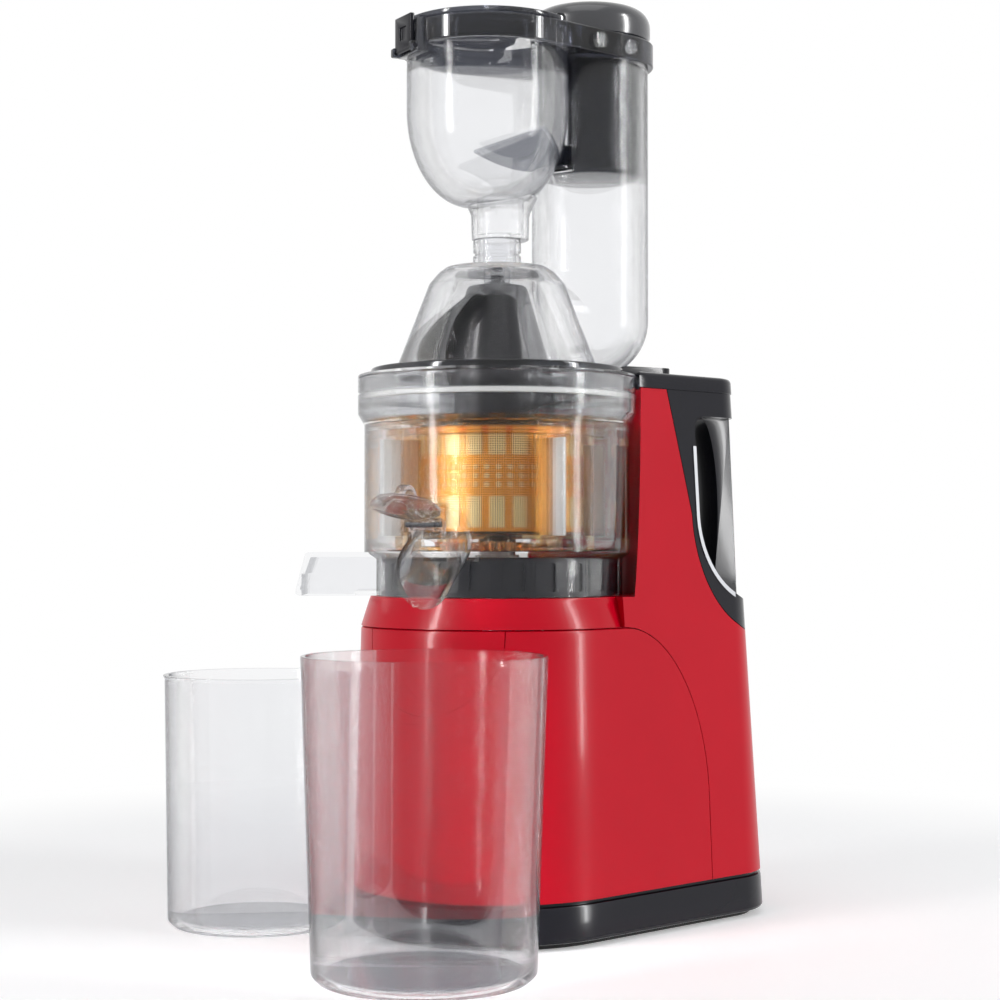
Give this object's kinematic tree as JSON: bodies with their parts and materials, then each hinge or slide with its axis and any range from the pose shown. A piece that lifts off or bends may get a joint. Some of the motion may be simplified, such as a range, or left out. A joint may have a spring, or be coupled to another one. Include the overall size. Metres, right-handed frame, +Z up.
{
  "type": "cold press juicer",
  "caption": "Upright cold press juicer: red base with rear handle column, clear bowl with spout and pulp chute, auger, domed lid with wide feed tube, side hopper and two clear cups.",
  "frame": {"origin": "centre of the rubber foot ring, on the surface that the juicer stands on, under the drive axis", "axes": "+Z up along the drive axis, +Y to the rear column and handle, -Y to the front, +X to the right seen from the front of the drive axis towards the rear"},
  "size_m": [0.2821, 0.3324, 0.5054],
  "materials": {
    "red_housing": "gloss",
    "black_gloss": "gloss",
    "black_plastic": "satin",
    "dark_plastic": "satin",
    "clear_plastic": "clear",
    "smoke_plastic": "smoked",
    "amber_plastic": "translucent",
    "auger_black": "gloss",
    "grey_plastic": "satin",
    "knob_grey": "gloss",
    "silver_trim": "satin",
    "steel": "machined",
    "dark_steel": "laminated",
    "gear_resin": "moulded",
    "silicone": "translucent",
    "rubber_black": "matte",
    "switch_red": "gloss",
    "board_green": "solder mask"
  },
  "bodies": {
    "base": {"foot_ring": "rubber_black", "bottom_cover": "black_plastic", "front_shell": "red_housing", "front_panel": "red_housing", "rear_housing": "red_housing", "column_cap": "black_gloss", "handle_cover": "black_gloss", "handle_grip": "black_gloss", "handle_trim": "silver_trim", "switch_bezel": "black_plastic", "cord_gland": "rubber_black", "control_board": "board_green", "motor_can": "steel", "motor_stator": "dark_steel", "motor_bearings": "steel", "gear_case": "dark_plastic", "gear_case_cover": "dark_plastic", "idler_axle": "steel", "shaft_bearings": "steel", "shaft_seal": "rubber_black", "case_screws": "steel", "micro_switch": "black_plastic"},
    "rotor": {"motor_rotor": "dark_steel", "motor_fan": "black_plastic"},
    "idler": {"idler_gear": "gear_resin"},
    "drive": {"output_gear": "gear_resin", "drive_shaft": "steel"},
    "rocker": {"switch_rocker": "switch_red"},
    "plunger": {"safety_pin": "silver_trim"},
    "bowl_unit": {"bowl": "clear_plastic", "bowl_ring": "dark_plastic", "bowl_packing": "silicone", "pulp_plug": "silicone", "cap_pin": "black_plastic", "strainer_frame": "amber_plastic", "strainer_mesh": "steel"},
    "spout_cap": {"juice_cap": "clear_plastic"},
    "wipers": {"wiper_cage": "amber_plastic", "wiper_blades": "silicone"},
    "pinion": {"brush_pinion": "gear_resin"},
    "auger_unit": {"auger": "auger_black"},
    "lid_unit": {"lid": "clear_plastic", "feed_tube": "clear_plastic", "lid_seal": "silicone", "lock_tab": "black_gloss", "dome_collar": "clear_plastic"},
    "hopper_unit": {"hopper": "clear_plastic", "hopper_baffle": "grey_plastic", "hopper_frame": "smoke_plastic", "frame_knuckles": "clear_plastic", "cover_pin": "steel"},
    "cover": {"hopper_cover": "smoke_plastic"},
    "catch": {"cover_catch": "black_gloss"},
    "pusher_unit": {"pusher": "smoke_plastic", "pusher_knob": "knob_grey"},
    "juice_cup_unit": {"juice_cup": "clear_plastic"},
    "pulp_cup_unit": {"pulp_cup": "clear_plastic"}
  },
  "joints": [
    {"name": "drive_spin", "type": "hinge", "parent": "base", "child": "drive", "pos_m": [0, 0, 0.178], "axis": [0, 0, 1], "continuous": true},
    {"name": "idler_spin", "type": "hinge", "parent": "base", "child": "idler", "pos_m": [0, 0.04875, 0.12], "axis": [0, 0, 1], "continuous": true},
    {"name": "motor_spin", "type": "hinge", "parent": "base", "child": "rotor", "pos_m": [0, 0.01275, 0.06], "axis": [0, 0, 1], "continuous": true},
    {"name": "switch_rock", "type": "hinge", "parent": "base", "child": "rocker", "pos_m": [0, 0.14662, 0.09567], "axis": [1, 0, 0], "range_deg": [-10, 10]},
    {"name": "plunger_press", "type": "slide", "parent": "base", "child": "plunger", "axis": [0, 0, -1], "range_m": [0, 0.0015], "stiffness_N_per_m": 200},
    {"name": "bowl_lift", "type": "slide", "parent": "base", "child": "bowl_unit", "axis": [0, 0, 1], "range_m": [0, 0.08]},
    {"name": "cap_flip", "type": "hinge", "parent": "bowl_unit", "child": "spout_cap", "pos_m": [0.06003, -0.07683, 0.2157], "axis": [0.788, 0.6157, 0], "range_deg": [0, 108]},
    {"name": "wiper_spin", "type": "hinge", "parent": "bowl_unit", "child": "wipers", "pos_m": [0, 0, 0.205], "axis": [0, 0, 1], "continuous": true},
    {"name": "pinion_spin", "type": "hinge", "parent": "bowl_unit", "child": "pinion", "pos_m": [0.0105, 0.01819, 0.205], "axis": [0, 0, 1], "continuous": true},
    {"name": "auger_spin", "type": "hinge", "parent": "bowl_unit", "child": "auger_unit", "pos_m": [0, 0, 0.21], "axis": [0, 0, 1], "continuous": true},
    {"name": "lid_lift", "type": "slide", "parent": "bowl_unit", "child": "lid_unit", "axis": [0, 0, 1], "range_m": [0, 0.12]},
    {"name": "hopper_lift", "type": "slide", "parent": "lid_unit", "child": "hopper_unit", "axis": [0, 0, 1], "range_m": [0, 0.04]},
    {"name": "cover_open", "type": "hinge", "parent": "hopper_unit", "child": "cover", "pos_m": [0, 0.02, 0.4882], "axis": [-1, 0, 0], "range_deg": [0, 90]},
    {"name": "catch_tip", "type": "hinge", "parent": "hopper_unit", "child": "catch", "pos_m": [0, -0.0567, 0.4688], "axis": [1, 0, 0], "range_deg": [0, 20], "stiffness_Nm_per_rad": 0.05},
    {"name": "pusher_pull", "type": "slide", "parent": "hopper_unit", "child": "pusher_unit", "axis": [0, 0, 1], "range_m": [0, 0.1]},
    {"name": "juice_cup_slide", "type": "slide", "parent": "base", "child": "juice_cup_unit", "axis": [0.7133, -0.7009, 0], "range_m": [0, 0.15]},
    {"name": "pulp_cup_slide", "type": "slide", "parent": "base", "child": "pulp_cup_unit", "axis": [-0.5592, -0.829, 0], "range_m": [0, 0.15]}
  ],
  "couplings": [
    {"joint": "idler_spin", "follows": "drive_spin", "ratio": -4},
    {"joint": "motor_spin", "follows": "drive_spin", "ratio": 20},
    {"joint": "auger_spin", "follows": "drive_spin", "ratio": 1},
    {"joint": "pinion_spin", "follows": "drive_spin", "ratio": -1.3333},
    {"joint": "wiper_spin", "follows": "drive_spin", "ratio": -0.4}
  ]
}
